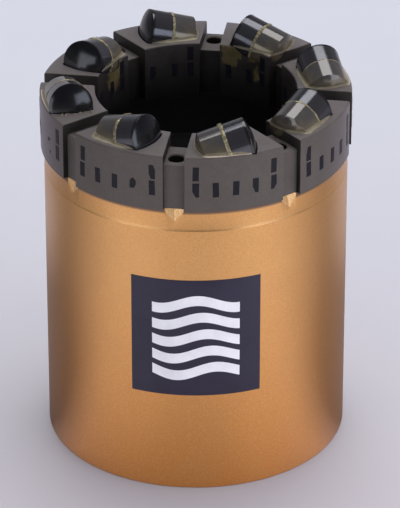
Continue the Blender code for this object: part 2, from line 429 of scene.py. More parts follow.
# %% Model one web, copy it and join all to the blocks
web_round = 0.4 * MM
web_sink = 0.4 * MM
countersink = 0.35 * MM
drill_overshoot = 4 * MM
web_length = web_outer_radius - web_inner_radius
bpy.ops.mesh.primitive_cube_add(size=1)
web = name_it(bpy.context.active_object, "web")
edit(web)
bpy.ops.mesh.select_all(action="SELECT")
bpy.ops.transform.resize(value=(web_length, slot_width + 2 * web_sink, web_top - crown_seat))
bpy.ops.transform.translate(value=(web_inner_radius + web_length / 2, 0,
                                   (web_top + crown_seat) / 2))
pick(web, "EDGE", lambda e: middle(e).z > web_top - 1e-6 and abs(middle(e).y) < 1e-6)
bpy.ops.mesh.bevel(offset=web_round, segments=4, affect="EDGES")
leave()
drill_profile = [(port_radius, crown_seat - drill_overshoot),
                 (port_radius, web_top - countersink), (port_radius + countersink, web_top),
                 (port_radius + drill_overshoot, web_top + drill_overshoot)]
drill = turned("port_drill", drill_profile, 40, "caps")
drill.data.transform(Matrix.Translation((port_circle_radius, 0, 0)))
cut(web, drill, "DIFFERENCE")
webs = [copy_of(web, f"web_{i + 1}", turn(angle)) for i, angle in enumerate(slots)]
bpy.data.objects.remove(web, do_unlink=True)
cut(crown, join(webs, "webs"), "UNION")
print("crown with its webs:", triangles(crown), "triangles")

# %% [markdown]
# ## Where each cutter sits
# The CAD nodes give each cutter's axis and the plane of its rim. The axis runs from the
# middle of the stud to the middle of the carbide, and the rim lies one table thickness in
# front of the table's flat back. Everything on a cutter is modelled upright at the origin
# and then placed by this matrix, which looks along the axis with its X axis level.

# %% Read the cutters' places from the CAD nodes
table_thickness = 0.7 * MM
stack_length = 14.5 * MM
cutter_radius = 6.72 * MM


def node_middle(name):
    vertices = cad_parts[name].data.vertices
    return sum((v.co for v in vertices), Vector()) / len(vertices)


def cutter_place(number):
    axis = (node_middle(f"carbide_substrate_{number}") - node_middle(f"backing_stud_{number}"))
    axis.normalize()
    across = Vector((0, 0, 1)).cross(axis).normalized()
    up = axis.cross(across)
    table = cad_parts[f"pdc_table_{number}"].data.vertices
    back = min(v.co.dot(axis) for v in table)
    heart = node_middle(f"backing_stud_{number}")
    to_middle = back + table_thickness - stack_length / 2 - heart.dot(axis)
    rotation = Matrix((across, up, axis)).transposed().to_4x4()
    return Matrix.Translation(heart + axis * to_middle) @ rotation


places = {number: cutter_place(number) for number in range(1, block_count + 1)}
for number, place in places.items():
    spot = place.translation / MM
    print("cutter", number, "at", [round(value, 2) for value in spot])

# %% [markdown]
# ## The pockets
# The cutters lie in round pockets that are moulded in the blocks. A pocket is a cylinder a
# little wider than the cutter. Both its ends are hollow, because the cutter's face and the
# end of its stud are low domes.

# %% Cut the pockets
dome_height = 1.45 * MM
stud_dome = 2.1 * MM
half_stack = stack_length / 2


def dome_rings(rim, height, base, way):
    """Rings of a low dome on a flat base; way is 1 for upwards and -1 for downwards."""
    sphere = (rim ** 2 + height ** 2) / (2 * height)
    rings = []
    for share in (0.94, 0.86, 0.76, 0.65, 0.54, 0.43, 0.32, 0.21, 0.11, 0.03):
        radius = rim * share
        rise = height - sphere + math.sqrt(sphere ** 2 - radius ** 2)
        rings.append((radius, base + way * rise))
    return rings


pocket_radius = cutter_radius + 0.3 * MM
pocket_front = half_stack + 0.35 * MM
pocket_back = -half_stack - 0.3 * MM
pocket_profile = dome_rings(pocket_radius, dome_height, pocket_front, 1)[::-1]
pocket_profile += [(pocket_radius, pocket_front), (pocket_radius, pocket_back)]
pocket_profile += dome_rings(pocket_radius, stud_dome, pocket_back, -1)
pocket = turned("pocket", pocket_profile, 96, "dome")
for number, place in places.items():
    cut(crown, copy_of(pocket, f"pocket_{number}", place), "DIFFERENCE")
bpy.data.objects.remove(pocket, do_unlink=True)
smooth(crown, 28)
print("crown with its pockets:", triangles(crown), "triangles")

# %% [markdown]
# ## The gauge pads
# Wear pads of hard thermally stable diamond are cast into both walls of each block, flush to
# a tenth of a millimetre. Seven stand outside and four in the bore. One pad is a bevelled
# block. A few of the real ones are chipped, so their corners are cut away. On the fifth block
# the matrix has run over two of them: of one only two slivers show, and one is buried.
#
# The table of chips has one row for each such pad, found by its block, column and row. A row
# holds the pieces that are left of the pad, and a piece its cuts: which way the cut faces,
# across and up, and how far in from the corner it lies.

# %% Make one pad and set out its copies
pad_width = 2.0 * MM
pad_height = 4.8 * MM
pad_depth = 1.0 * MM
pad_ease = 0.12 * MM
pad_play = 0.12 * MM
pad_row_pitch = 5.4 * MM
outer_row = block_top - 10.9 * MM
inner_row = block_top - 9.0 * MM
outer_pad_pitch = math.radians(7.3)


def pad(width, height, chips):
    """A pad on the X axis with its front at the origin, its middle at height zero."""
    bpy.ops.mesh.primitive_cube_add(size=1)
    piece = name_it(bpy.context.active_object, "pad")
    edit(piece)
    bpy.ops.mesh.select_all(action="SELECT")
    bpy.ops.transform.resize(value=(pad_depth, width, height))
    bpy.ops.transform.translate(value=(-pad_depth / 2, 0, 0))
    for across, up, inset in chips:
        normal = Vector((0, across, up)).normalized()
        corner = Vector((0, math.copysign(width / 2, across), math.copysign(height / 2, up)))
        bpy.ops.mesh.select_all(action="SELECT")
        bpy.ops.mesh.bisect(plane_co=corner - normal * inset, plane_no=normal, use_fill=True,
                            clear_outer=True)
    pick(piece, "EDGE", lambda e: middle(e).x > -0.4 * pad_depth and sharp(e, 20))
    bpy.ops.mesh.bevel(offset=pad_ease, segments=2, affect="EDGES")
    leave()
    return piece


chipped = {
    (6, 1, 0): (((0.1, -1, 1.5 * MM), (1, 0.8, 0.6 * MM), (-1, 0.8, 0.6 * MM),
                 (1, -0.5, 1.2 * MM)),),
    (7, -2, 0): (((-1, -0.55, 0.9 * MM),),),
    (6, 2, 1): (((1, 0.35, 0.5 * MM), (-1, -0.35, 0.55 * MM)),),
    (7, 1, 0): (((-1, -0.4, 0.8 * MM),),),
    (7, 2, 0): (((1, -0.6, 0.8 * MM),),),
    (8, -2, 1): (((-1, 0.25, 0.6 * MM),),),
    (2, -1, 0): (((1, 0.6, 0.7 * MM),),),
    (4, 2, 0): (((1, -0.8, 0.8 * MM),),),
    (5, 1, 0): (((0, -1, 3.6 * MM), (1, -1, 3.5 * MM)), ((0, 1, 3.8 * MM), (-1, 1, 3.9 * MM))),
    (5, 0, 0): (),
}
whole = ((),)


def pads_of_block(number, wall_radius, outward, layout, middle_row):
    middle_angle = first_block_angle + (number - 1) * block_pitch
    made = []
    for column, (offset, rows) in layout.items():
        for row in rows:
            remains = chipped.get((number, column, row), whole) if outward > 0 else whole
            width = pad_width * random.uniform(0.93, 1.02)
            height = pad_height * random.uniform(0.96, 1.02)
            lean = Matrix.Rotation(math.radians(random.uniform(-1.6, 1.6)), 4, "X")
            front = wall_radius + outward * pad_stand_out
            up = middle_row + row * pad_row_pitch + random.uniform(-pad_play, pad_play)
            shift = random.uniform(-pad_play, pad_play)
            spot = Matrix.Translation((front, shift, up))
            facing = turn(0 if outward > 0 else math.pi)
            for chips in remains:
                piece = pad(width, height, chips)
                piece.data.transform(turn(middle_angle + offset) @ spot @ lean @ facing)
                made.append(piece)
    side = "outer" if outward > 0 else "bore"
    return join(made, f"{side}_pads_{number}")


outer_layout = {column: (column * outer_pad_pitch, (0, 1) if abs(column) == 2 else (0,))
                for column in range(-2, 3)}
bore_layout = {-1: (math.radians(-11.5), (0, 1)), 0: (math.radians(-2), (0,)),
               1: (math.radians(11.5), (0,))}
outer_pads = [pads_of_block(n, crown_outer_radius, 1, outer_layout, outer_row) for n in places]
bore_pads = [pads_of_block(n, crown_inner_radius, -1, bore_layout, inner_row) for n in places]
pads = outer_pads + bore_pads
print("pads in", len(pads), "pieces, with", sum(triangles(piece) for piece in pads), "triangles")

# %% [markdown]
# ## The cutters' parts
# Each cutter is a stack: a domed table of black diamond, a ground carbide body, a braze seam
# and a backing stud of the same width. All four are turned. The table's back edge is not
# quite straight on the real ones, because diamond and carbide grow together, so its last ring
# is waved a little and reaches over the carbide.
#
# Every part keeps its upright coordinates in an attribute called "upright". The materials
# can then draw grinding lines round a cutter's own axis, wherever the cutter lies.

# %% Helpers for the cutters' parts
table_back = half_stack - table_thickness
seam_middle = 0.05 * MM


def keep_upright(piece):
    """Store each vertex's place before the piece is laid into its pocket."""
    layer = piece.data.attributes.new("upright", "FLOAT_VECTOR", "POINT")
    for vertex, item in zip(piece.data.vertices, layer.data):
        item.vector = vertex.co


def ring_wave(angle, seed, rate):
    """Smooth noise round a ring, from -1 to 1, with no step where the ring closes."""
    return noise.noise(Vector((math.cos(angle) * rate, math.sin(angle) * rate, seed * 5.7)))


def diamond_table(name, seed):
    rim = cutter_radius + 0.012 * MM
    section = [(rim, table_back), (rim, half_stack - 0.1 * MM),
               (rim - 0.03 * MM, half_stack - 0.03 * MM), (rim - 0.1 * MM, half_stack)]
    section += dome_rings(cutter_radius, dome_height, half_stack, 1)
    piece = turned(name, section, 96, "dome")
    for vertex in piece.data.vertices:
        if vertex.co.z < table_back + 0.01 * MM and around(vertex.co) > 1 * MM:
            angle = math.atan2(vertex.co.y, vertex.co.x)
            vertex.co.z -= (0.1 + 0.13 * ring_wave(angle, seed, 2.2)) * MM
    return piece


def carbide_body(name):
    section = [(cutter_radius, seam_middle), (cutter_radius, seam_middle + 1.5 * MM),
               (cutter_radius, table_back - 1 * MM), (cutter_radius, table_back + 0.05 * MM)]
    return turned(name, section, 96, "caps")


def backing_stud(name):
    """A stud whose far end is a low dome with a crisp rim."""
    ease = 0.1 * MM
    section = [(cutter_radius, seam_middle), (cutter_radius, -half_stack + 3 * MM),
               (cutter_radius, -half_stack + ease), (cutter_radius - ease, -half_stack)]
    section += dome_rings(cutter_radius - ease, stud_dome, -half_stack, -1)
    return turned(name, section, 96, "dome")


def braze_seam(name, seed, bulge, half_width, roughness):
    """A lumpy bead: a thin ring whose height and width wander as the braze flowed."""
    bpy.ops.mesh.primitive_torus_add(major_segments=160, minor_segments=12, major_radius=1,
                                     minor_radius=0.1)
    piece = name_it(bpy.context.active_object, name)
    for vertex in piece.data.vertices:
        out = around(vertex.co) - 1
        angle = math.atan2(vertex.co.y, vertex.co.x)
        lump = 1 + roughness * ring_wave(angle, seed, 3.5)
        lump += 0.6 * roughness * ring_wave(angle, seed + 9, 11)
        drift = 0.12 * MM * roughness * ring_wave(angle, seed + 21, 2.5)
        radius = cutter_radius - 0.1 * MM + out * 10 * (bulge + 0.1 * MM) * max(lump, 0.25)
        up = vertex.co.z * 10 * half_width * max(0.6 + 0.4 * lump, 0.4) + drift
        vertex.co = (radius * math.cos(angle), radius * math.sin(angle), seam_middle + up)
    return piece


# %% [markdown]
# The seams differ from cutter to cutter, as hand brazing leaves them: some stand proud as a
# lumpy bead and some are hardly more than a line. A table of bulge, half width and
# roughness, one row for each cutter, holds what the photograph shows.

# %% Make the stacks and lay them into their pockets
seam_looks = {
    1: (0.05 * MM, 0.28 * MM, 0.5), 2: (0.20 * MM, 0.50 * MM, 1.0),
    3: (0.16 * MM, 0.48 * MM, 0.9), 4: (0.20 * MM, 0.45 * MM, 1.0),
    5: (0.12 * MM, 0.34 * MM, 0.8), 6: (0.22 * MM, 0.50 * MM, 1.2),
    7: (0.26 * MM, 0.66 * MM, 1.1), 8: (0.07 * MM, 0.38 * MM, 0.6),
}
cutter_parts = {kind: {} for kind in ("pdc_table", "carbide_substrate", "braze_seam",
                                      "backing_stud")}
patterns = {"carbide_substrate": carbide_body("carbide_pattern"),
            "backing_stud": backing_stud("stud_pattern")}
for piece in patterns.values():
    keep_upright(piece)
    smooth(piece, 30)
for number, place in places.items():
    for kind, piece in patterns.items():
        cutter_parts[kind][number] = copy_of(piece, f"{kind}_of_cutter_{number}", place)
    cutter_parts["pdc_table"][number] = diamond_table(f"pdc_table_of_cutter_{number}", number)
    cutter_parts["braze_seam"][number] = braze_seam(f"braze_seam_of_cutter_{number}", number,
                                                    *seam_looks[number])
    for kind in ("pdc_table", "braze_seam"):
        piece = cutter_parts[kind][number]
        keep_upright(piece)
        piece.data.transform(place)
        smooth(piece, 30)
for piece in patterns.values():
    bpy.data.objects.remove(piece, do_unlink=True)
print("each cutter:", {kind: triangles(pieces[1]) for kind, pieces in cutter_parts.items()})

# %% [markdown]
# ## The braze round each cutter
# Molten brass is drawn into the gap between a cutter and its pocket, and it stands as a
# hollow fillet where the cutter leaves the block. No primitive has that wandering form, so
# this one is written as mesh code. First comes the line that it follows: the outline of the
# cutter on the block's top, along one side, round the domed end and back along the other.

# %% Find the outline of a cutter on its block's top
side_steps = 60
end_steps = 18
corner_steps = 6
stud_sphere = (cutter_radius ** 2 + stud_dome ** 2) / (2 * stud_dome)
stud_centre = -half_stack - stud_dome + stud_sphere


def outline_of(place):
    """Points where the cutter leaves the block, each with its outward direction and its
    surface normal."""
    up_z, axis_z = place[2][1], place[2][2]

    def half_width(z):
        level = (block_top - place.translation.z - z * axis_z) / up_z
        radius = cutter_radius
        if z < -half_stack:
            radius = math.sqrt(max(stud_sphere ** 2 - (z - stud_centre) ** 2, 0))
        return level, math.sqrt(max(radius ** 2 - level ** 2, 0))

    near, far = -half_stack, -half_stack - stud_dome
    for _ in range(30):
        half = (near + far) / 2
        near, far = (half, far) if half_width(half)[1] > 0 else (near, half)
    front = table_back - 0.3 * MM
    stations = [front + (-half_stack - front) * i / side_steps for i in range(side_steps + 1)]
    stations += [-half_stack + (near + half_stack) * math.sin(math.pi / 2 * i / end_steps)
                 for i in range(1, end_steps + 1)]
    leg = []
    for side in (1, -1):
        points = []
        for z in stations:
            level, half = half_width(z)
            core = Vector((0, 0, stud_centre if z < -half_stack else z))
            spot = Vector((side * half, level, z))
            points.append((place @ spot, (place.to_3x3() @ (spot - core)).normalized()))
        leg.append(points)
    line = leg[0] + leg[1][::-1][1:]
    made = []
    for spot, normal in line:
        outward = Vector((normal.x, normal.y, 0)).normalized()
        made.append((spot, outward, normal))
    return made


ways = {number: outline_of(place) for number, place in places.items()}
print("outline points of one cutter:", len(ways[1]))

# %% [markdown]
# Where the side of the stud meets its domed end, the line turns a corner, and the braze
# rounds it off. So the corner point is repeated there with directions that swing from one
# side to the other. The fillet itself is a hollow curve from the block's top to the cutter,
# with noise that makes it wider here and thinner there, and a closed underside. It is thin
# at both ends of the line, beside the diamond, where little brass gets to.

# %% Draw the fillets
fillet_reach = 0.95 * MM
fillet_climb = 0.8 * MM
curve_steps = 6
run_in_steps = 14
end_share = {7: 0.3, 5: 0.9, 6: 0.9}


def wave(x, seed, rate):
    """Smooth noise along a line, from -1 to 1."""
    return noise.noise(Vector((x * rate, seed * 7.31, seed * 3.17)))


def with_corners(line):
    """Repeat the points at the stud's rim, with directions that swing round the corner."""
    full = []
    for index, (spot, outward, normal) in enumerate(line):
        full.append((spot, outward, normal, 0.0))
        if index in (side_steps, len(line) - side_steps - 2):
            _, next_outward, next_normal = line[index + 1]
            for i in range(1, corner_steps):
                share = i / corner_steps
                full.append((spot, outward.lerp(next_outward, share).normalized(),
                             normal.lerp(next_normal, share).normalized(), 1.0))
    return full


def off_slot(point):
    """The distance of a point from the middle line of the nearest slot."""
    angle = math.atan2(point.y, point.x)
    return min(abs(around(point) * math.sin(angle - slot)) for slot in slots)


def inside_ring(spot, outward, reach):
    """Shorten a reach until it stays on the block's flat top."""
    for _ in range(14):
        point = spot + outward * reach
        on_ring = crown_inner_radius + 0.3 * MM < around(point) < crown_outer_radius - 0.3 * MM
        if on_ring and off_slot(point) > slot_width / 2 + 0.35 * MM:
            break
        reach *= 0.8
    return max(reach, 0.1 * MM)


def eased(values, rounds):
    """Smooth a list of numbers or points by averaging neighbours."""
    for _ in range(rounds):
        values = [values[0]] + [(a + b * 2 + c) / 4 for a, b, c in
                                zip(values, values[1:], values[2:])] + [values[-1]]
    return values


def braze_fillet(number, line, size):
    line = with_corners(line)
    seed = number * 1.7
    corner = eased([item[3] for item in line], 60)
    peak = max(corner)
    reaches, climbs = [], []
    for index, (spot, outward, _, _) in enumerate(line):
        bulk = size * (1 + 0.45 * corner[index] / peak)
        if side_steps < index < len(line) - side_steps:
            bulk *= end_share.get(number, 0.6)
        bulk *= min(0.15 + min(index, len(line) - 1 - index) / run_in_steps, 1)
        wander = 1 + 0.36 * wave(index, seed, 0.08) + 0.22 * wave(index, seed + 3, 0.31)
        reaches.append(inside_ring(spot, outward, fillet_reach * bulk * wander))
        wander = 1 + 0.45 * wave(index, seed + 5, 0.05) + 0.15 * wave(index, seed + 8, 0.17)
        climbs.append(fillet_climb * bulk * max(wander, 0.4))
    reaches, climbs = eased(reaches, 3), eased(climbs, 4)
    feet = eased([item[0] + item[1] * reach for item, reach in zip(line, reaches)], 5)
    tops = []
    for (spot, _, normal, _), climb in zip(line, climbs):
        along = (Vector((0, 0, 1)) - normal * normal.z).normalized()
        bend = climb ** 2 / (2 * cutter_radius) * (1 - normal.z ** 2)
        tops.append(spot + along * climb - normal * bend + normal * 0.015 * MM)
    tops = eased(tops, 5)
    mesh = bmesh.new()
    share = mesh.verts.layers.float.new("climb")
    rows = []
    for (spot, outward, normal, _), foot, tip in zip(line, feet, tops):
        row = []
        for i in range(curve_steps + 1):
            t = i / curve_steps
            point = foot * (1 - t) ** 2 + spot * 2 * t * (1 - t) + tip * t ** 2
            row.append((point + Vector((0, 0, 0.01 * MM)), t))
        row.append((tip - normal * 0.35 * MM, 1.0))
        row.append((spot - outward * 0.3 * MM - Vector((0, 0, 0.5 * MM)), 0.5))
        row.append((foot - Vector((0, 0, 0.3 * MM)), 0.0))
        vertices = []
        for point, t in row:
            vertex = mesh.verts.new(point)
            vertex[share] = t
            vertices.append(vertex)
        rows.append(vertices)
    for first, second in zip(rows, rows[1:]):
        for i in range(len(first)):
            j = (i + 1) % len(first)
            mesh.faces.new((first[i], first[j], second[j], second[i]))
    mesh.faces.new(rows[0][::-1])
    mesh.faces.new(rows[-1])
    bmesh.ops.recalc_face_normals(mesh, faces=mesh.faces)
    data = bpy.data.meshes.new(f"braze_fillet_{number}")
    mesh.to_mesh(data)
    mesh.free()
    piece = bpy.data.objects.new(f"braze_fillet_{number}", data)
    bpy.context.scene.collection.objects.link(piece)
    smooth(piece, 60)
    return piece


fillet_sizes = {1: 0.9, 2: 1.0, 3: 1.0, 4: 1.1, 5: 0.9, 6: 1.15, 7: 1.1, 8: 1.05}
fillets = {n: braze_fillet(n, way, fillet_sizes[n]) for n, way in ways.items()}
print("fillets:", sum(triangles(piece) for piece in fillets.values()), "triangles in all")

# %% [markdown]
# A line of flux crumbs has stayed on the block in front of cutter 5, along the edge where the
# diamond's dome meets the block's top, because nobody brushed it off. Each crumb is a small
# flattened ball with a noisy skin, half sunk into the block.

# %% Scatter the crumbs in front of one cutter
crumb_cutter = 5
crumb_count = 38
crumb_random = random.Random(11)
table_sphere = (cutter_radius ** 2 + dome_height ** 2) / (2 * dome_height)


def front_edge(place, x):
    """The point where a table's dome meets the block's top, at a place across it."""
    z = half_stack
    for _ in range(8):
        level = (block_top - place.translation.z - z * place[2][2]) / place[2][1]
        z = (half_stack + dome_height - table_sphere
             + math.sqrt(table_sphere ** 2 - x ** 2 - level ** 2))
    return place @ Vector((x, level, z))


crumbs = []
forward = places[crumb_cutter].to_3x3() @ Vector((0, 0, 1))
forward = Vector((forward.x, forward.y, 0)).normalized()
for _ in range(crumb_count):
    across = crumb_random.uniform(-0.62, 0.9) * cutter_radius
    spot = front_edge(places[crumb_cutter], across)
    spot += forward * crumb_random.triangular(0.3, 2.2, 0.6) * MM
    size = crumb_random.uniform(0.13, 0.36) * MM
    bpy.ops.mesh.primitive_ico_sphere_add(subdivisions=2, radius=size, location=spot)
    crumb = bpy.context.active_object
    bpy.ops.object.transform_apply(location=True, rotation=True, scale=True)
    for vertex in crumb.data.vertices:
        away = vertex.co - spot
        away *= 1 + 0.55 * noise.noise(vertex.co / (0.3 * MM))
        away.z = away.z * 0.6 + 0.05 * MM
        vertex.co = spot + away
    crumbs.append(crumb)
crumbs = join(crumbs, "flux_crumbs")
climb_layer = crumbs.data.attributes.new("climb", "FLOAT", "POINT")
for item in climb_layer.data:
    item.value = 0.12
smooth(crumbs, 50)
print("crumbs:", crumb_count, "with", triangles(crumbs), "triangles")

# %% [markdown]
# ## The label
# A square of navy vinyl is stuck on the shell. A flat grid is the start, and its columns are
# then wrapped round the shell, so it stays as thin as a sticker. The stripes on it stand for
# layers of rock. They are a plain invented pattern, printed in white.

# %% Wrap the label and its stripes round the shell
label_width = 40.4 * MM
label_height = 40.2 * MM
label_middle = 53.6 * MM
label_angle = math.radians(-90)
vinyl_thickness = 0.08 * MM
ink_thickness = 0.02 * MM


def wrap(piece, radius):
    """Bend a flat piece in the XZ plane round the shell, its X along the wall."""
    for vertex in piece.data.vertices:
        angle = label_angle + vertex.co.x / radius
        here = radius - vertex.co.y
        vertex.co = (here * math.cos(angle), here * math.sin(angle), vertex.co.z)


def sheet_grid(name, columns, rows, width, height, middle_height, thickness):
    """A flat upright grid whose outer side faces -Y."""
    bpy.ops.mesh.primitive_grid_add(x_subdivisions=columns, y_subdivisions=rows, size=1)
    piece = name_it(bpy.context.active_object, name)
    edit(piece)
    bpy.ops.mesh.select_all(action="SELECT")
    bpy.ops.transform.resize(value=(width, height, 1))
    bpy.ops.mesh.extrude_region_move(TRANSFORM_OT_translate={"value": (0, 0, thickness)})
    bpy.ops.mesh.select_all(action="SELECT")
    bpy.ops.mesh.normals_make_consistent(inside=False)
    leave()
    piece.data.transform(Matrix.Translation((0, 0, middle_height))
                         @ Matrix.Rotation(math.pi / 2, 4, "X"))
    return piece


label = sheet_grid("label_vinyl", 64, 6, label_width, label_height, label_middle,
                   vinyl_thickness)
edit(label)
pick(label, "EDGE", lambda e: sharp(e, 50) and middle(e).y < -0.9 * vinyl_thickness)
bpy.ops.mesh.bevel(offset=0.03 * MM, segments=2, affect="EDGES")
leave()
wrap(label, shell_radius + 0.01 * MM)
smooth(label)

stripe_count = 5
stripe_pitch = 5.8 * MM
stripe_width = 27 * MM
stripe_height = 3.4 * MM
stripe_swing = 1.5 * MM
stripes = []
for row in range(stripe_count):
    offset = (row - (stripe_count - 1) / 2) * stripe_pitch
    stripe = sheet_grid("stripe", 72, 1, stripe_width, stripe_height, label_middle + offset,
                        ink_thickness)
    for vertex in stripe.data.vertices:
        phase = vertex.co.x / stripe_width * 2 * math.pi
        vertex.co.z += stripe_swing * math.sin(phase * 1.1 + 0.35 * row)
    stripes.append(stripe)
motif = join(stripes, "label_motif")
wrap(motif, shell_radius + 0.085 * MM)
smooth(motif)
print("label:", triangles(label), "triangles, stripes:", triangles(motif), "triangles")

# %% [markdown]
# ## Finishes
# Every finish is worked out by nodes from a vertex's place, so it needs no pictures. What is
# wanted more than once is a node group: a two-scale grain, a ring mask that follows the
# distance from an axis, a stain with a ragged edge and the fine lines that a tool leaves.

# %% Small helpers for building node trees
def link(tree, source, target):
    tree.links.new(source, target)


def feed(tree, value, socket):
    """Set a socket to a number or a colour, or link a node's output to it."""
    if isinstance(value, (int, float)):
        socket.default_value = value
    elif isinstance(value, tuple):
        socket.default_value = (*value, 1)
    else:
        link(tree, value, socket)


def add(tree, kind, **values):
    """Add a node and set the named inputs and properties on it."""
    node = tree.nodes.new(kind)
    for name, value in values.items():
        if hasattr(node, name) and name not in node.inputs:
            setattr(node, name, value)
        else:
            node.inputs[name.replace("_", " ")].default_value = value
    return node


def new_group(name, inputs, outputs):
    """A shader node group with named sockets; an input is (name, kind, default)."""
    group = bpy.data.node_groups.new(name, "ShaderNodeTree")
    for title, kind, default in inputs:
        socket = group.interface.new_socket(title, in_out="INPUT", socket_type=kind)
        if default is not None:
            socket.default_value = default
    for title in outputs:
        group.interface.new_socket(title, in_out="OUTPUT", socket_type="NodeSocketFloat")
    return group, group.nodes.new("NodeGroupInput"), group.nodes.new("NodeGroupOutput")


def place_group(tree, group, vector, **values):
    """Place a group, set its inputs and hand out its outputs."""
    node = tree.nodes.new("ShaderNodeGroup")
    node.node_tree = group
    link(tree, vector, node.inputs["Vector"])
    for name, value in values.items():
        node.inputs[name.replace("_", " ")].default_value = value
    return node.outputs


def math_node(tree, operation, first, second, clamp=False):
    node = tree.nodes.new("ShaderNodeMath")
    node.operation = operation
    node.use_clamp = clamp
    for socket, value in zip(node.inputs, (first, second)):
        feed(tree, value, socket)
    return node.outputs[0]


def plus(tree, first, second, clamp=False):
    return math_node(tree, "ADD", first, second, clamp)


def minus(tree, first, second, clamp=False):
    return math_node(tree, "SUBTRACT", first, second, clamp)


def times(tree, first, second):
    return math_node(tree, "MULTIPLY", first, second)


def over(tree, first, second):
    return math_node(tree, "DIVIDE", first, second)


def spread(tree, value, low, high, to_low, to_high, smooth_step=False):
    """Map a range of values to another, clamped at both ends."""
    node = add(tree, "ShaderNodeMapRange", From_Min=low, From_Max=high, To_Min=to_low,
               To_Max=to_high, interpolation_type="SMOOTHSTEP" if smooth_step else "LINEAR")
    link(tree, value, node.inputs["Value"])
    return node.outputs["Result"]


def blend(tree, share, first, second):
    """Mix two colours; each is a colour or the output of a node."""
    node = tree.nodes.new("ShaderNodeMix")
    node.data_type = "RGBA"
    for slot, value in ((0, share), (6, first), (7, second)):
        feed(tree, value, node.inputs[slot])
    return node.outputs[2]


def axes(tree, vector):
    """The outputs X, Y and Z that a vector parts into."""
    node = add(tree, "ShaderNodeSeparateXYZ")
    link(tree, vector, node.inputs[0])
    return node.outputs


def length_of(tree, *parts):
    """The length of the vector that two or three parts make."""
    vector = add(tree, "ShaderNodeCombineXYZ")
    for part, target in zip(parts, vector.inputs):
        link(tree, part, target)
    length = add(tree, "ShaderNodeVectorMath", operation="LENGTH")
    link(tree, vector.outputs[0], length.inputs[0])
    return length.outputs["Value"]


def new_material(name, metallic=0.0, roughness=0.5):
    material = bpy.data.materials.new(name)
    material.use_nodes = True
    tree = material.node_tree
    shader = tree.nodes["Principled BSDF"]
    shader.inputs["Metallic"].default_value = metallic
    shader.inputs["Roughness"].default_value = roughness
    return material, tree, shader


def bump(tree, shader, height, distance, strength):
    node = add(tree, "ShaderNodeBump", Strength=strength, Distance=distance)
    link(tree, height, node.inputs["Height"])
    link(tree, node.outputs["Normal"], shader.inputs["Normal"])


def object_place(tree):
    return tree.nodes.new("ShaderNodeTexCoord").outputs["Object"]


def upright_place(tree):
    return add(tree, "ShaderNodeAttribute", attribute_name="upright").outputs["Vector"]


def tinted(tree, tone, value, low, high, most, tint):
    """Blend a tint into a tone as a value runs from low to high."""
    return blend(tree, spread(tree, value, low, high, 0.0, most), tone, tint)


def paint_with(tree, shader, colour):
    link(tree, colour, shader.inputs["Base Color"])


def roughen(tree, shader, value, smoothest, roughest):
    """Let the roughness follow a value that runs from 0 to 1."""
    link(tree, spread(tree, value, 0.0, 1.0, smoothest, roughest), shader.inputs["Roughness"])


def dress(pieces, material):
    for piece in pieces:
        piece.data.materials.clear()
        piece.data.materials.append(material)


# %% [markdown]
# Grain is two noises: a fine one for the sparkle or the sinter grain and a broad one for
# cloudy patches. Both come out, so a material can colour with one and roughen with the other.

# %% The grain group
grain_group, source, sink = new_group(
    "two_scale_grain",
    [("Vector", "NodeSocketVector", None), ("Fine Size", "NodeSocketFloat", 0.3),
     ("Broad Size", "NodeSocketFloat", 6.0), ("Fine Contrast", "NodeSocketFloat", 1.0)],
    ["Fine", "Broad"])
for title, detail in (("Fine", 2.0), ("Broad", 3.0)):
    per_metre = over(grain_group, 1000.0, source.outputs[f"{title} Size"])
    cloud = add(grain_group, "ShaderNodeTexNoise", Detail=detail, Roughness=0.6)
    link(grain_group, source.outputs["Vector"], cloud.inputs["Vector"])
    link(grain_group, per_metre, cloud.inputs["Scale"])
    centred = minus(grain_group, cloud.outputs[0], 0.5)
    gain = source.outputs["Fine Contrast"] if title == "Fine" else 1.6
    swung = times(grain_group, centred, gain)
    value = plus(grain_group, times(grain_group, swung, 1.6), 0.5, clamp=True)
    link(grain_group, value, sink.inputs[title])
print("grain group with", len(grain_group.nodes), "nodes")


def grained(tree, spot, fine_size, broad_size, contrast):
    """The two scales of grain, with their sizes in millimetres."""
    grain = place_group(tree, grain_group, spot, Fine_Size=fine_size, Broad_Size=broad_size,
                        Fine_Contrast=contrast)
    return grain["Fine"], grain["Broad"]


# %% [markdown]
# The ring mask is 1 outside a radius and 0 inside it, with a soft step. On the shell it parts
# the paint from the bare bore, and on a cutter it pales the rim.

# %% The ring mask group
ring_group, source, sink = new_group(
    "ring_mask",
    [("Vector", "NodeSocketVector", None), ("Radius", "NodeSocketFloat", 44.0),
     ("Softness", "NodeSocketFloat", 0.2)],
    ["Mask"])
parts = axes(ring_group, source.outputs["Vector"])
in_mm = times(ring_group, length_of(ring_group, parts["X"], parts["Y"]), 1000.0)
beyond = minus(ring_group, in_mm, source.outputs["Radius"])
scaled = over(ring_group, beyond, source.outputs["Softness"])
link(ring_group, plus(ring_group, scaled, 0.5, clamp=True), sink.inputs["Mask"])
print("ring mask group with", len(ring_group.nodes), "nodes")

# %% [markdown]
# The stain is a ball whose edge is pushed in and out by noise. Where it meets a surface it
# leaves a ragged patch, as brass and flux do where they ran down the bore.

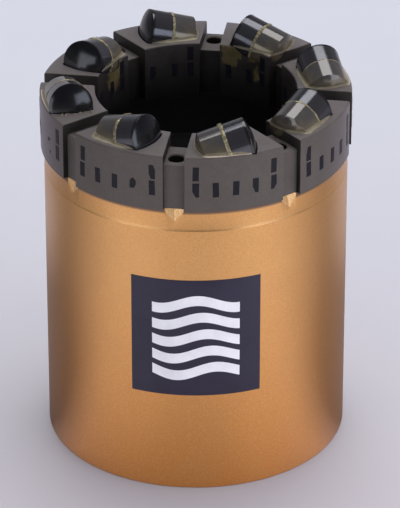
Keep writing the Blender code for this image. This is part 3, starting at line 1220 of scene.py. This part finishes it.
# %% The stain group
stain_group, source, sink = new_group(
    "ragged_stain",
    [("Vector", "NodeSocketVector", None), ("Centre", "NodeSocketVector", (0.0, 0.0, 0.0)),
     ("Stretch", "NodeSocketFloat", 1.0), ("Radius", "NodeSocketFloat", 3.0),
     ("Ragged", "NodeSocketFloat", 1.5), ("Grain Size", "NodeSocketFloat", 2.0)],
    ["Mask"])
away = add(stain_group, "ShaderNodeVectorMath", operation="SUBTRACT")
link(stain_group, source.outputs["Vector"], away.inputs[0])
link(stain_group, source.outputs["Centre"], away.inputs[1])
parts = axes(stain_group, away.outputs[0])
squeezed = over(stain_group, parts["Z"], source.outputs["Stretch"])
in_mm = times(stain_group, length_of(stain_group, parts["X"], parts["Y"], squeezed), 1000.0)
cloud = add(stain_group, "ShaderNodeTexNoise", Detail=3.0)
link(stain_group, source.outputs["Vector"], cloud.inputs["Vector"])
link(stain_group, over(stain_group, 1000.0, source.outputs["Grain Size"]), cloud.inputs["Scale"])
push = times(stain_group, minus(stain_group, cloud.outputs[0], 0.5), source.outputs["Ragged"])
inside = minus(stain_group, source.outputs["Radius"], in_mm)
raw = plus(stain_group, inside, times(stain_group, push, 4.0))
link(stain_group, plus(stain_group, raw, 0.5, clamp=True), sink.inputs["Mask"])
print("stain group with", len(stain_group.nodes), "nodes")

# %% [markdown]
# A lathe and a grinding wheel both leave fine lines round the axis of the work. One noise
# along the height draws them, coarse on the shell's bore and fine on the carbide.

# %% The tool line group
line_group, source, sink = new_group(
    "tool_lines",
    [("Vector", "NodeSocketVector", None), ("Per Metre", "NodeSocketFloat", 2600.0),
     ("Detail", "NodeSocketFloat", 2.0)],
    ["Lines"])
lines = add(line_group, "ShaderNodeTexNoise", noise_dimensions="1D")
link(line_group, axes(line_group, source.outputs["Vector"])["Z"], lines.inputs["W"])
link(line_group, source.outputs["Per Metre"], lines.inputs["Scale"])
link(line_group, source.outputs["Detail"], lines.inputs["Detail"])
link(line_group, lines.outputs[0], sink.inputs["Lines"])
print("tool line group with", len(line_group.nodes), "nodes")

# %% [markdown]
# ## Gold paint and bare steel
# The shell is one piece with two finishes: metallic gold paint outside and turned steel in
# the bore. The paint has a fine sparkle, a slight orange peel and a thin clear coat. Painted
# shade makes it darker and deeper in colour near the foot. A faint painted highlight pales the
# ledge, and in the notches the paint is rough and pale, a painted highlight where their facets
# catch the light. A thin line of reddish brown under the crown is partly the paint's edge and
# partly a painted shadow of the crown's overhang.

# %% Paint the shell
paint, tree, shader = new_material("gold_paint_and_steel")
spot = object_place(tree)
fine, broad = grained(tree, spot, 0.38, 14.0, 1.3)
up = axes(tree, spot)["Z"]
paint_edge_radius = 45.6
foot_shade_height = 75 * MM
outside = place_group(tree, ring_group, spot, Radius=paint_edge_radius, Softness=0.3)["Mask"]
# Painted shade: the gold is darker and deeper in colour towards the foot.
rise = spread(tree, up, 0.0, foot_shade_height, 0.0, 1.0)
gold = blend(tree, rise, (0.67, 0.235, 0.014), (0.72, 0.345, 0.085))
gold = tinted(tree, gold, fine, 0.5, 1.0, 0.42, (0.86, 0.52, 0.20))
gold = tinted(tree, gold, fine, 0.5, 0.0, 0.32, (0.44, 0.18, 0.035))
gold = tinted(tree, gold, broad, 0.3, 0.9, 0.18, (0.62, 0.28, 0.07))
# Painted highlight: the notches and a band along the ledge turn to a pale, rough gold.
cut_in = place_group(tree, ring_group, spot, Radius=band_radius / MM - 0.12, Softness=0.12)
notch = minus(tree, spread(tree, up, ledge - 1 * MM, ledge, 0.0, 1.0), cut_in["Mask"],
              clamp=True)
ledge_highlight = minus(tree, spread(tree, up, ledge - 0.6 * MM, ledge - 0.4 * MM, 0.0, 1.0),
               spread(tree, up, ledge + 0.25 * MM, ledge + 0.4 * MM, 0.0, 1.0), clamp=True)
notch_and_ledge_highlight = math_node(tree, "MAXIMUM", notch, times(tree, ledge_highlight, 0.2))
highlight_gold = blend(tree, fine, (0.62, 0.30, 0.075), (0.95, 0.62, 0.26))
gold = blend(tree, notch_and_ledge_highlight, gold, highlight_gold)
# A thin reddish brown line under the crown: partly the paint's edge, partly a painted shadow.
seat_shadow_and_paint_edge = spread(tree, up, top - 1.75 * MM, top - 1.05 * MM, 0.0, 0.92)
gold = blend(tree, minus(tree, seat_shadow_and_paint_edge, notch, clamp=True), gold, (0.085, 0.032, 0.014))
turning = place_group(tree, line_group, spot, Per_Metre=2600.0, Detail=2.0)["Lines"]
steel = tinted(tree, (0.030, 0.028, 0.026), turning, 0.3, 0.7, 1.0, (0.075, 0.07, 0.066))
paint_with(tree, shader, blend(tree, outside, steel, gold))
metal = minus(tree, spread(tree, outside, 0.0, 1.0, 0.7, 0.93), times(tree, notch_and_ledge_highlight, 0.25))
link(tree, metal, shader.inputs["Metallic"])
roughen(tree, shader, broad, 0.32, 0.37)
shader.inputs["Coat Weight"].default_value = 0.7
shader.inputs["Coat IOR"].default_value = 1.8
shader.inputs["Coat Roughness"].default_value = 0.3
bump(tree, shader, fine, 0.02 * MM, 0.35)
dress([shell], paint)
print("paint and steel:", len(tree.nodes), "nodes")

# %% [markdown]
# ## The cast matrix
# The crown is tungsten carbide powder bound with a copper alloy: a dull warm grey with a
# fine granular skin, darker in its hollows. Fine dust clings to its outside, so a weak sheen
# lightens the walls where they turn away. The bore, the ports and the slots' sides take a
# darker copy of the matrix, which is painted shade, and that shade deepens towards the seat.
# Four ragged stains, three under cutter 2 and one under cutter 4, show where braze and flux
# ran down the bore.

# %% The matrix
def matrix_finish(name, dark, light, speck, dust):
    material, tree, shader = new_material(name, metallic=0.35, roughness=0.58)
    spot = object_place(tree)
    fine, broad = grained(tree, spot, 0.35, 5.0, 1.6)
    tone = tinted(tree, dark, broad, 0.2, 0.8, 1.0, light)
    tone = tinted(tree, tone, fine, 0.5, 0.95, 0.12, speck)
    tone = tinted(tree, tone, fine, 0.45, 0.1, 0.14, tuple(value * 0.4 for value in dark))
    roughen(tree, shader, broad, 0.48, 0.62)
    bump(tree, shader, fine, 0.03 * MM, 0.2)
    shader.inputs["Sheen Weight"].default_value = dust
    shader.inputs["Sheen Roughness"].default_value = 0.4
    shader.inputs["Sheen Tint"].default_value = (0.86, 0.80, 1.0, 1)
    return material, tree, shader, spot, broad, tone


stains = (
    ((11.3, 28.9, 113.2), 1.2, 3.2), ((17.6, 25.5, 114.2), 1.0, 2.2),
    ((18.7, 24.8, 108.4), 1.8, 1.3), ((-25.6, 17.5, 111.5), 1.6, 3.6),
)
matrix, tree, shader, _, _, tone = matrix_finish(
    "sintered_matrix", (0.090, 0.075, 0.063), (0.104, 0.088, 0.075), (0.20, 0.18, 0.16),
    dust=0.28)
paint_with(tree, shader, tone)

# A darker copy of the matrix for the bore, the ports and the slots' sides: painted shade.
shaded_matrix, tree, shader, spot, broad, tone = matrix_finish(
    "shaded_matrix", (0.026, 0.021, 0.018), (0.036, 0.030, 0.027), (0.07, 0.062, 0.055),
    dust=0.0)
# Painted shade: darker still towards the seat, near black at the bottom.
deep = spread(tree, axes(tree, spot)["Z"], crown_seat, block_top - 2 * MM, 0.85, 0.0)
tone = blend(tree, deep, tone, (0.004, 0.0035, 0.003))
for centre, stretch, radius in stains:
    stain = place_group(tree, stain_group, spot, Centre=tuple(c * MM for c in centre),
                        Stretch=stretch, Radius=radius, Ragged=1.4, Grain_Size=2.2)
    olive = blend(tree, broad, (0.075, 0.06, 0.02), (0.16, 0.12, 0.045))
    tone = blend(tree, times(tree, stain["Mask"], 0.85), tone, olive)
paint_with(tree, shader, tone)
dress([crown], matrix)
crown.data.materials.append(shaded_matrix)


def takes_painted_shade(centre):
    """Whether a face takes the painted shade: in the bore, in a port, in a slot or on a web's
    back.
    """
    out = around(centre)
    aside = off_slot(centre)
    along = math.sqrt(out ** 2 - aside ** 2)
    if (math.hypot(along - port_circle_radius, aside) < port_radius
            and centre.z < web_top - 0.4 * MM):
        return True
    in_bore = out < crown_inner_radius + 0.15 * MM
    slot_side = abs(aside - slot_width / 2) < 0.05 * MM
    web_back = out < web_inner_radius + 0.05 * MM and aside < slot_width / 2
    return centre.z < block_top - 0.3 * MM and (in_bore or slot_side or web_back)


# Faces in the bore, the ports, the slots' sides and on the back of a web take the painted shade.
for polygon in crown.data.polygons:
    polygon.material_index = int(takes_painted_shade(polygon.center))
shaded_faces = sum(polygon.material_index for polygon in crown.data.polygons)
print("matrix faces in the bore, the ports and the slots:", shaded_faces)

# %% [markdown]
# ## Pads, diamond and carbide
# Pads and tables are both diamond. The pads are sintered and have a dull glassy black, while
# the tables are polished to a deep black and only a little paler at their rim. Two noises
# keep both from being one flat tone.

# %% The pads and the diamond tables
pad_black, tree, shader = new_material("gauge_pad_black", roughness=0.3)
shader.inputs["Specular IOR Level"].default_value = 0.2
spot = object_place(tree)
fine, broad = grained(tree, spot, 0.5, 3.0, 1.3)
paint_with(tree, shader, blend(tree, fine, (0.004, 0.0035, 0.006), (0.011, 0.010, 0.015)))
roughen(tree, shader, broad, 0.24, 0.4)
bump(tree, shader, broad, 0.02 * MM, 0.4)
dress(pads, pad_black)

diamond, tree, shader = new_material("polished_diamond")
shader.inputs["Specular IOR Level"].default_value = 0.8
spot = upright_place(tree)
fine, broad = grained(tree, spot, 0.12, 2.5, 1.2)
rim_radius = 6.55
rim = place_group(tree, ring_group, spot, Radius=rim_radius, Softness=0.2)["Mask"]
black = blend(tree, fine, (0.002, 0.002, 0.003), (0.006, 0.006, 0.008))
paint_with(tree, shader, blend(tree, times(tree, rim, 0.5), black, (0.012, 0.010, 0.011)))
roughen(tree, shader, broad, 0.13, 0.22)
bump(tree, shader, fine, 0.002 * MM, 0.2)
dress(cutter_parts["pdc_table"].values(), diamond)
print("black finishes on", len(pads) + len(places), "pieces")

# %% [markdown]
# The carbide is ground round its axis, which leaves fine rings. They follow the height of
# the upright coordinates. The stud behind it is a warmer grey, and a film of brass has crept
# up it from the block's top and thins out on its way.

# %% The carbide and the stud
carbide, tree, shader = new_material("ground_carbide", metallic=0.8)
spot = upright_place(tree)
rings = place_group(tree, line_group, spot, Per_Metre=4200.0, Detail=3.0)["Lines"]
_, broad = grained(tree, spot, 0.25, 3.0, 1.2)
tone = tinted(tree, (0.085, 0.085, 0.094), rings, 0.3, 0.7, 1.0, (0.115, 0.115, 0.126))
tone = tinted(tree, tone, broad, 0.5, 0.95, 0.35, (0.08, 0.078, 0.08))
paint_with(tree, shader, tone)
roughen(tree, shader, broad, 0.11, 0.17)
bump(tree, shader, rings, 0.002 * MM, 0.15)
dress(cutter_parts["carbide_substrate"].values(), carbide)

stud, tree, shader = new_material("backing_stud", metallic=0.65)
spot = upright_place(tree)
fine, broad = grained(tree, spot, 0.3, 2.6, 1.2)
tone = blend(tree, fine, (0.115, 0.107, 0.103), (0.145, 0.136, 0.130))
lift = axes(tree, object_place(tree))["Z"]
wetted = spread(tree, lift, block_top + 0.7 * MM, block_top + 3.8 * MM, 0.85, 0.0)
film = plus(tree, wetted, spread(tree, broad, 0.5, 0.9, -0.12, 0.25), clamp=True)
tone = blend(tree, film, tone, (0.21, 0.175, 0.105))
paint_with(tree, shader, tone)
link(tree, spread(tree, film, 0.0, 0.8, 0.11, 0.21), shader.inputs["Roughness"])
bump(tree, shader, fine, 0.004 * MM, 0.2)
dress(cutter_parts["backing_stud"].values(), stud)
print("carbide and studs on", 2 * len(places), "pieces")

# %% [markdown]
# ## Braze
# The seams are pale brass, and heat has marked them brown in places. The fillets are duller.
# Their thin outer edge has the grey of the matrix, and the thin film at their top has the
# grey of the stud, so a stored share of the climb blends the colours. Near the block's outer
# edge they are paler, partly where flux has spilt and partly as a painted highlight.

# %% The braze
seam_brass, tree, shader = new_material("seam_brass")
spot = object_place(tree)
fine, broad = grained(tree, spot, 0.3, 1.4, 1.6)
clean = blend(tree, fine, (0.22, 0.20, 0.10), (0.44, 0.39, 0.23))
burnt = blend(tree, fine, (0.07, 0.05, 0.03), (0.20, 0.15, 0.10))
soot = spread(tree, broad, 0.45, 0.7, 0.0, 0.9)
paint_with(tree, shader, blend(tree, soot, clean, burnt))
link(tree, spread(tree, soot, 0.0, 0.9, 0.6, 0.3), shader.inputs["Metallic"])
link(tree, spread(tree, broad, 0.2, 0.8, 0.24, 0.5), shader.inputs["Roughness"])
bump(tree, shader, fine, 0.05 * MM, 0.6)
dress(cutter_parts["braze_seam"].values(), seam_brass)

fillet_brass, tree, shader = new_material("fillet_brass")
spot = object_place(tree)
fine, broad = grained(tree, spot, 0.35, 2.4, 1.3)
climbed = add(tree, "ShaderNodeAttribute", attribute_name="climb").outputs["Fac"]
khaki = blend(tree, broad, (0.17, 0.145, 0.085), (0.27, 0.235, 0.155))
edge = spread(tree, climbed, 0.0, 0.22, 0.85, 0.0)
tone = blend(tree, edge, khaki, (0.115, 0.098, 0.082))
# Partly spilt flux, partly a painted highlight: the fillets' foot is paler near the outer edge.
spill_and_highlight_radius = 46.7
outermost = place_group(tree, ring_group, spot, Radius=spill_and_highlight_radius, Softness=0.9)
spill_and_highlight = times(tree, outermost["Mask"], spread(tree, climbed, 0.1, 0.45, 0.75, 0.0))
tone = blend(tree, spill_and_highlight, tone, (0.56, 0.47, 0.38))
crest = spread(tree, climbed, 0.6, 1.0, 0.0, 0.8)
tone = blend(tree, crest, tone, (0.16, 0.14, 0.10))
paint_with(tree, shader, tone)
link(tree, spread(tree, climbed, 0.0, 0.5, 0.2, 0.4), shader.inputs["Metallic"])
link(tree, spread(tree, broad, 0.2, 0.8, 0.36, 0.56), shader.inputs["Roughness"])
bump(tree, shader, fine, 0.03 * MM, 0.5)
dress([*fillets.values(), crumbs], fillet_brass)
print("brass on", len(places) + len(fillets) + 1, "pieces")

# %% [markdown]
# ## Vinyl and print
# The label is satin navy vinyl with the faintest texture of its printing film. The stripes
# are white ink, a little uneven in cover.

# %% The label's finishes
vinyl, tree, shader = new_material("navy_vinyl", roughness=0.42)
spot = object_place(tree)
fine, broad = grained(tree, spot, 0.3, 8.0, 1.0)
paint_with(tree, shader, blend(tree, broad, (0.011, 0.008, 0.026), (0.017, 0.012, 0.036)))
roughen(tree, shader, fine, 0.38, 0.48)
bump(tree, shader, fine, 0.006 * MM, 0.4)
dress([label], vinyl)

ink, tree, shader = new_material("white_ink", roughness=0.4)
spot = object_place(tree)
fine, broad = grained(tree, spot, 0.25, 5.0, 1.0)
paint_with(tree, shader, blend(tree, broad, (0.78, 0.77, 0.80), (0.88, 0.87, 0.89)))
roughen(tree, shader, fine, 0.36, 0.46)
dress([motif], ink)
print("materials:", sorted(material.name for material in bpy.data.materials)[:12])

# %% [markdown]
# ## Which CAD part each piece stands for
# Every piece rides on the one body of this part. The dressed pieces take the place of the
# plain CAD solids, node for node.

# %% Let the pieces ride and replace the CAD nodes
riding = []


def stand_for(piece, slot_name, *nodes):
    riding.append(piece)
    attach(piece, "root")
    if nodes:
        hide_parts(*nodes)


stand_for(shell, "gold_paint", "steel_shell")
stand_for(crown, "matrix", "matrix_crown")
slot_names = {"pdc_table": "diamond", "carbide_substrate": "carbide", "braze_seam": "braze",
              "backing_stud": "stud"}
for kind, pieces in cutter_parts.items():
    for number, piece in pieces.items():
        stand_for(piece, slot_names[kind], f"{kind}_{number}")
for piece in pads:
    stand_for(piece, "diamond")
for piece in [*fillets.values(), crumbs]:
    stand_for(piece, "braze")
stand_for(label, "label", "shell_label")
stand_for(motif, "label")
print("pieces that ride the root:", len(riding))

# %% [markdown]
# ## The table
# The bit stands on a pale table with a faint lavender cast. A large flat plane is all that
# the photograph shows of it. A very soft noise keeps it from looking like a plain colour,
# and painted light makes the paper lighter and bluer towards the back.
#
# The upright glossy wall of the shell mirrors the table and none of the lights, so what
# gives the paint its light and dark bands is how bright the table looks from there. Mirror
# rays therefore see the table in a tone of their own, painted light: a pool of light in front
# of the bit, a weaker one behind it and painted shade between them, darkest close to its foot.

# %% Lay the table
bpy.ops.mesh.primitive_plane_add(size=9)
table = name_it(bpy.context.active_object, "pale_table")
pale, tree, shader = new_material("pale_table", roughness=0.55)
spot = object_place(tree)
_, broad = grained(tree, spot, 1.2, 90.0, 0.8)
floor_at = axes(tree, spot)
# Painted light: the paper's tint shifts a little just behind the bit and grows lighter further
# back.
near = spread(tree, floor_at["Y"], -0.06, 0.02, 0.0, 1.0, smooth_step=True)
far = spread(tree, floor_at["Y"], 0.0, 0.30, 0.0, 1.0)
paper = blend(tree, near, (0.50, 0.475, 0.505), (0.485, 0.48, 0.513))
paper = blend(tree, far, paper, (0.505, 0.524, 0.56))
paper = tinted(tree, paper, broad, 0.0, 1.0, 0.05, (0.74, 0.73, 0.78))
distance = length_of(tree, floor_at["X"], floor_at["Y"])
forward = over(tree, floor_at["Y"], distance)
foot_near, foot_far = 50 * MM, 160 * MM
front_pool = spread(tree, forward, 0.25, -0.55, 0.0, 1.0)
front_gap = spread(tree, forward, -0.86, -1.0, 0.0, 0.13)
back_pool = spread(tree, forward, 0.1, 0.6, 0.0, 0.42)
foot_shade = times(tree, minus(tree, 1.0, front_pool),
                   spread(tree, distance, foot_near, foot_far, 1.0, 0.0))
pools = plus(tree, minus(tree, front_pool, front_gap), back_pool)
pools = minus(tree, pools, foot_shade, clamp=True)
pools = times(tree, pools, spread(tree, distance, foot_near, foot_far, 0.93, 1.0))
mirror_paper = blend(tree, pools, (0.14, 0.13, 0.14), (0.705, 0.682, 0.696))
path = tree.nodes.new("ShaderNodeLightPath")
paint_with(tree, shader, blend(tree, path.outputs["Is Glossy Ray"], paper, mirror_paper))
dress([table], pale)
print("table:", [round(size, 1) for size in table.dimensions], "m,", len(tree.nodes), "nodes")

# %% [markdown]
# ## Studio light
# Three soft boxes light the bit: two low ones at the front left and the front right and a
# high one behind. Their places were worked out from the bright bands on the cutters. The
# world is a pale room, brighter at the right, low down at the right and behind, and
# overhead. Mirror rays see a dark room instead, with a grey wall behind, because that is
# what the polished cutters show between their bright bands.

# %% Set the lights
focus = Vector((0, 0, 0.09))


def soft_box(name, azimuth, elevation, distance, width, height, power, colour):
    """Azimuth 0 is the camera's side and 90 is to its right, both in degrees."""
    across, lift = math.radians(azimuth), math.radians(elevation)
    away = Vector((math.sin(across) * math.cos(lift), -math.cos(across) * math.cos(lift),
                   math.sin(lift)))
    bpy.ops.object.light_add(type="AREA", location=focus + away * distance)
    lamp = bpy.context.active_object
    lamp.name = name
    lamp.data.name = name
    lamp.data.shape = "RECTANGLE"
    lamp.data.size = width
    lamp.data.size_y = height
    lamp.data.energy = power
    lamp.data.color = colour
    lamp.rotation_euler = away.to_track_quat("Z", "Y").to_euler()
    return lamp


# name, azimuth, elevation, distance, width, height, power, colour
boxes = (
    ("front_left_box", -43, 11, 1.3, 0.90, 0.72, 2.5, (0.92, 0.96, 1.06)),
    ("front_right_box", 46, 14, 1.3, 0.72, 0.76, 2.9, (0.86, 0.94, 1.12)),
    ("back_top_box", 175.5, 67, 1.5, 1.0, 0.92, 9.5, (0.97, 0.98, 1.0)),
)
for box in boxes:
    soft_box(*box)

world = bpy.data.worlds.new("studio")
bpy.context.scene.world = world
world.use_nodes = True
tree = world.node_tree
background = tree.nodes["Background"]
direction = tree.nodes.new("ShaderNodeTexCoord")
parts = axes(tree, direction.outputs["Generated"])
low_band = spread(tree, parts["Z"], 0.10, 0.38, 1.0, 0.0, smooth_step=True)
mirrored = blend(tree, low_band, (0.045, 0.045, 0.05), (0.11, 0.11, 0.125))
behind = times(tree, spread(tree, parts["Y"], 0.2, 0.7, 0.0, 1.0),
               spread(tree, parts["Z"], 0.3, 0.65, 1.0, 0.0, smooth_step=True))
for low, high in ((0.3, 0.0), (-0.75, -0.4)):
    behind = times(tree, behind, spread(tree, parts["X"], low, high, 0.2, 1.0))
mirrored = blend(tree, behind, mirrored, (0.31, 0.32, 0.36))
room = tinted(tree, (0.34, 0.34, 0.37), parts["X"], -0.8, 0.6, 1.0, (0.86, 0.86, 0.93))
low_down = spread(tree, parts["Z"], 0.2, 0.6, 1.0, 0.0)
glows = (("X", 0.5, 0.85, (3.5, 3.35, 3.7)), ("Y", 0.1, 0.7, (2.5, 2.4, 2.7)))
for axis, low, high, glow in glows:
    share = times(tree, low_down, spread(tree, parts[axis], low, high, 0.0, 1.0))
    room = blend(tree, share, room, glow)
overhead = spread(tree, parts["Z"], 0.65, 0.85, 0.0, 1.0)
room = blend(tree, overhead, room, (0.95, 0.95, 1.01))
path = tree.nodes.new("ShaderNodeLightPath")
link(tree, blend(tree, path.outputs["Is Glossy Ray"], room, mirrored),
     background.inputs["Color"])
background.inputs["Strength"].default_value = 1.0

# %% [markdown]
# ## Camera
# The lens and place of the camera were solved from the ellipses of the crown and the shell
# in the photograph. It is a long lens, a little over a metre away, looking down by 28.6
# degrees.

# %% Place the camera
camera_distance = 1.212856
focal_length_px = 3859.892
frame_height_px = 508
sensor_size = 36
camera_elevation = math.radians(28.647)
aim = Vector((1.254 * MM, 0, 57.206 * MM))
bpy.ops.object.camera_add()
camera = bpy.context.active_object
camera.name = "camera"
camera.data.sensor_width = sensor_size
camera.data.lens = focal_length_px / frame_height_px * sensor_size
camera.data.clip_end = 50
camera.location = aim + Vector((0, -math.cos(camera_elevation), math.sin(camera_elevation))
                               ) * camera_distance
camera.rotation_euler = (math.pi / 2 - camera_elevation, 0, 0)
bpy.context.scene.camera = camera
bpy.context.scene.view_settings.view_transform = "Standard"
print("camera at", [round(value, 3) for value in camera.location])
